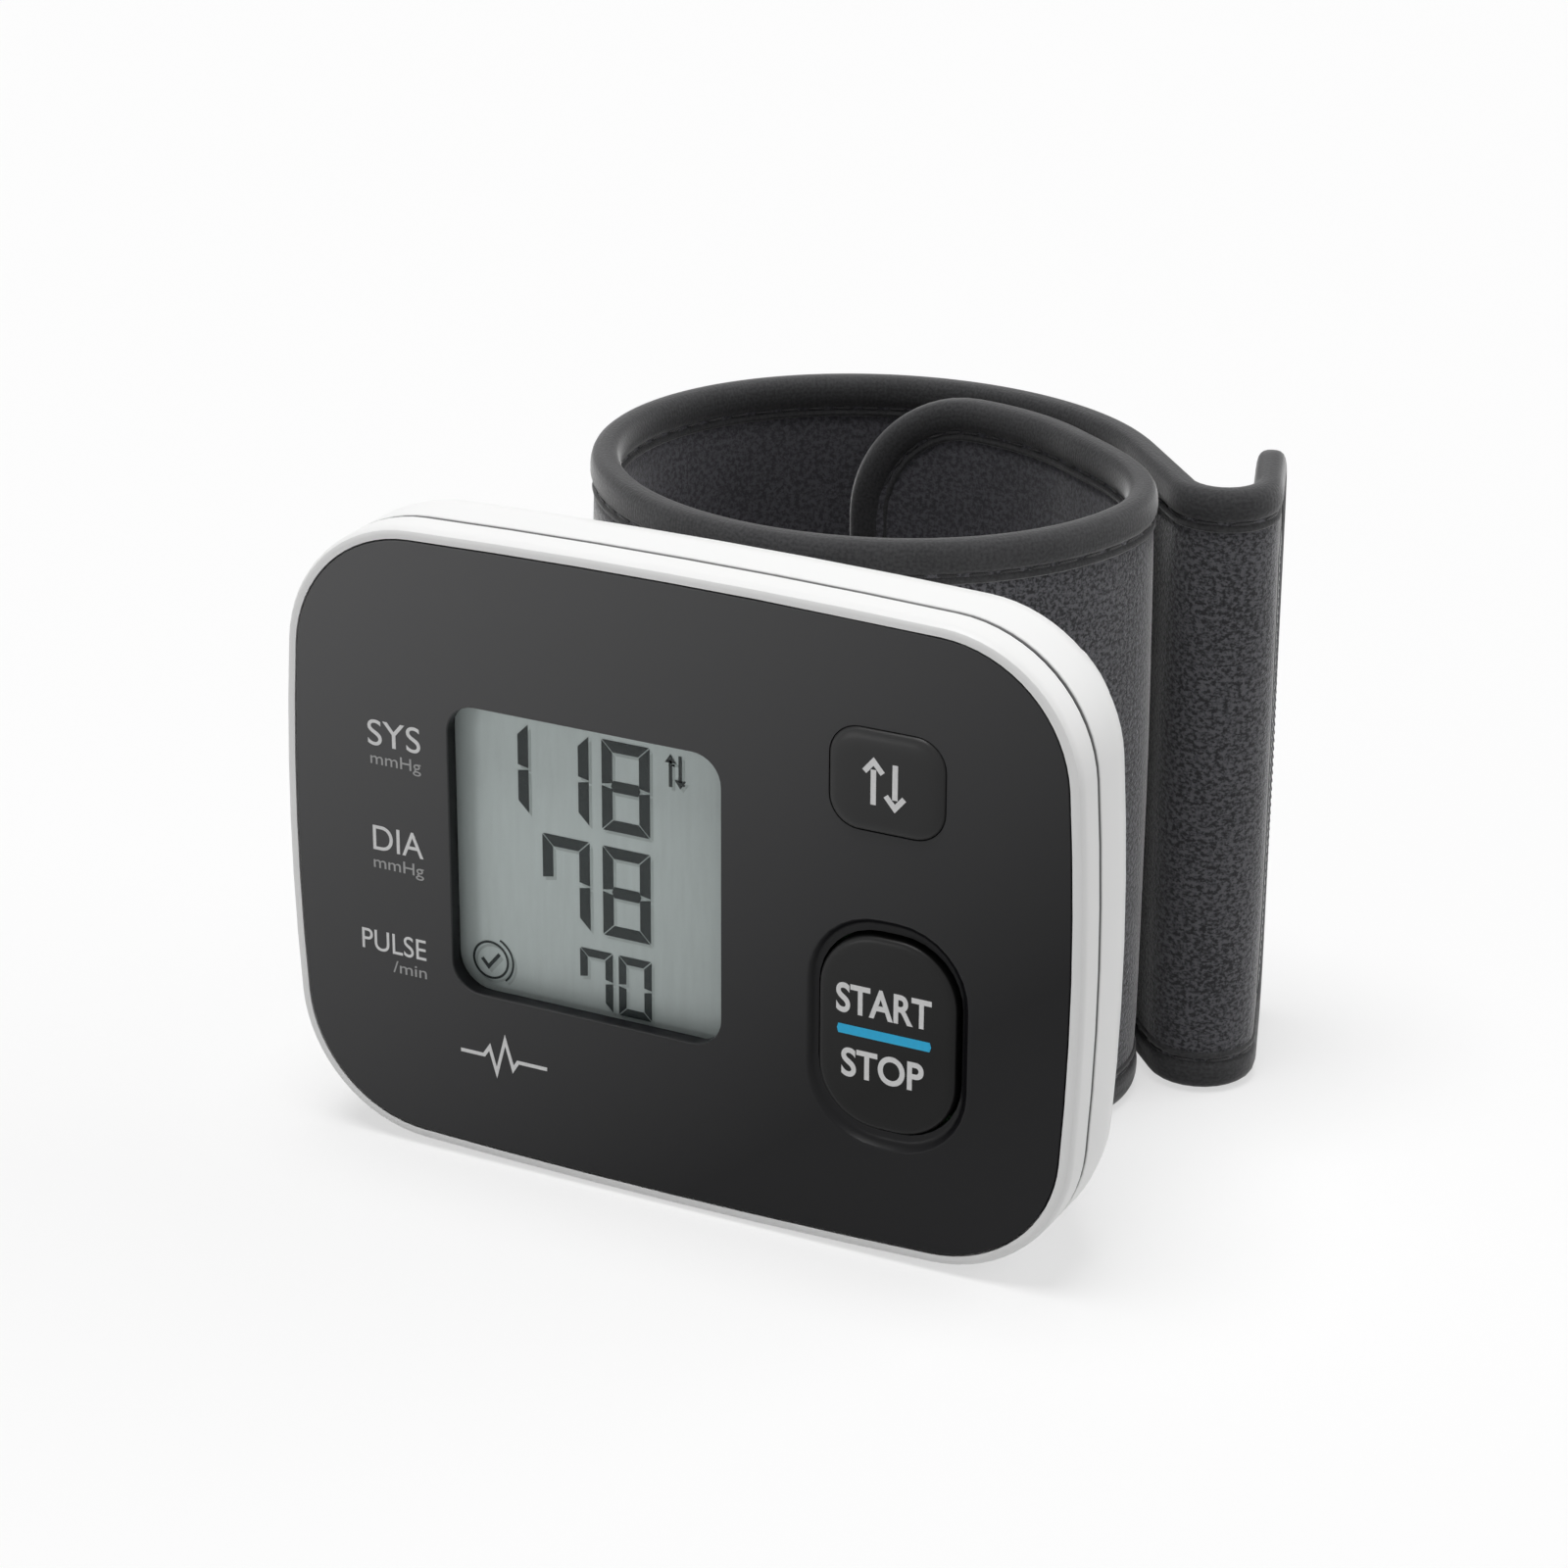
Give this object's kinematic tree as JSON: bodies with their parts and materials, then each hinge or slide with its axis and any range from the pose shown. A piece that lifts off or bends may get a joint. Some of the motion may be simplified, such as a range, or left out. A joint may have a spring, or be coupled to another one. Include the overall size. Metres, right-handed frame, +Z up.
{
  "type": "wrist blood pressure monitor",
  "caption": "Wrist blood pressure monitor: white display unit with a dark front panel and display, start and link buttons, on a pre-curled grey fabric wrist cuff with a hooked closing tail.",
  "frame": {"origin": "under the middle of the whole part, at the level that it stands on", "axes": "+X to the right of the display, +Y from the display towards the wrist cuff, +Z up"},
  "size_m": [0.0778, 0.0632, 0.0599],
  "materials": {
    "white_case": "satin moulded white",
    "dark_panel": "fine charcoal",
    "clear_window": "clear",
    "lcd": "grey-green display",
    "inner_plastic": "plain moulded",
    "soft_rubber": "soft silicone",
    "circuit_board": "green solder mask",
    "black_component": "moulded black",
    "bare_metal": "plain bright",
    "cell_jacket": "plain jacket",
    "cuff_fabric": "charcoal melange loop cloth",
    "cuff_tape": "fine knitted tape",
    "hook_fastener": "woven hook tape",
    "bladder_film": "matt film"
  },
  "bodies": {
    "unit": {"front_case": "white_case", "rear_case": "white_case", "front_panel": "dark_panel", "display_window": "clear_window", "lcd_glass": "lcd", "lcd_frame": "inner_plastic", "pump_head": "inner_plastic", "release_valve": "inner_plastic", "pressure_sensor": "inner_plastic", "cuff_nipple": "inner_plastic", "cuff_plate": "inner_plastic", "cuff_core": "inner_plastic", "zebra_strip": "soft_rubber", "air_hose": "soft_rubber", "main_board": "circuit_board", "controller_chip": "black_component", "start_switch": "black_component", "link_switch": "black_component", "radio_module": "bare_metal", "case_screw_1": "bare_metal", "case_screw_2": "bare_metal", "case_screw_3": "bare_metal", "case_screw_4": "bare_metal", "link_contact": "bare_metal", "positive_contact": "bare_metal", "negative_contact": "bare_metal", "pump_motor": "bare_metal", "battery_1": "cell_jacket", "battery_2": "cell_jacket", "cuff_outer_fabric": "cuff_fabric", "cuff_lining": "cuff_fabric", "cuff_binding": "cuff_tape", "air_bladder": "bladder_film"},
    "start_key": {"start_button": "dark_panel"},
    "link_key": {"link_button": "dark_panel"},
    "cover": {"battery_cover": "white_case"},
    "tail": {"tail_fabric": "cuff_fabric", "tail_binding": "cuff_tape", "tail_hook_patch": "hook_fastener"}
  },
  "joints": [
    {"name": "start_press", "type": "slide", "parent": "unit", "child": "start_key", "axis": [0, 1, 0], "range_m": [0, 0.0006], "stiffness_N_per_m": 1500},
    {"name": "link_press", "type": "slide", "parent": "unit", "child": "link_key", "axis": [0, 1, 0], "range_m": [0, 0.0005], "stiffness_N_per_m": 1500},
    {"name": "cover_slide", "type": "slide", "parent": "unit", "child": "cover", "axis": [0, 0, 1], "range_m": [0, 0.05]},
    {"name": "tail_flex", "type": "hinge", "parent": "unit", "child": "tail", "pos_m": [0.0228, 0.02203, 0.03], "axis": [0, 0, 1], "range_deg": [0, 60], "stiffness_Nm_per_rad": 0.002}
  ]
}
